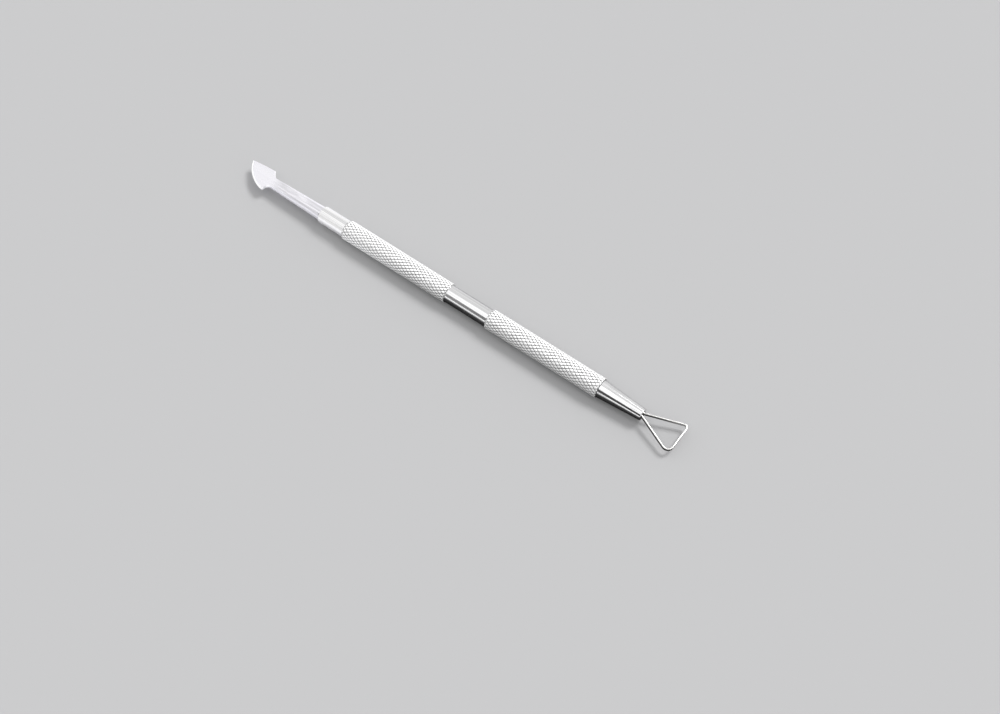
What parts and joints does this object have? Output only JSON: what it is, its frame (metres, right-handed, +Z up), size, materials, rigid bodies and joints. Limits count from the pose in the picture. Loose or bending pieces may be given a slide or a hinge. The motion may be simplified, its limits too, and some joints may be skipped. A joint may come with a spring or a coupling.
{
  "type": "cuticle pusher",
  "caption": "Double-ended steel nail tool: hatchet cuticle blade, round handle with knurled grips, triangle wire scraper loop.",
  "frame": {"origin": "under the middle of the tool, on the surface that its grips lie on", "axes": "+X along the tool from the blade's tip towards the scraper loop, +Y across it on the side of the blade's tip and heel, +Z up through the flat of the blade"},
  "size_m": [0.13, 0.0082, 0.0051],
  "materials": {
    "satin_steel": "satin, finely ground along the blade, brighter on the bevel",
    "polished_steel": "polished stainless steel with faint turning and polishing lines",
    "knurled_steel": "bright diamond knurling, polished plain waist",
    "strip_steel": "bright rolled strip",
    "braze": "dull grey silver braze"
  },
  "bodies": {
    "root": {"pusher_blade": "satin_steel", "front_collar": "polished_steel", "tang_braze": "braze", "handle_tube": "knurled_steel", "rear_nose": "polished_steel", "scraper_loop": "strip_steel", "loop_braze": "braze"}
  },
  "joints": []
}
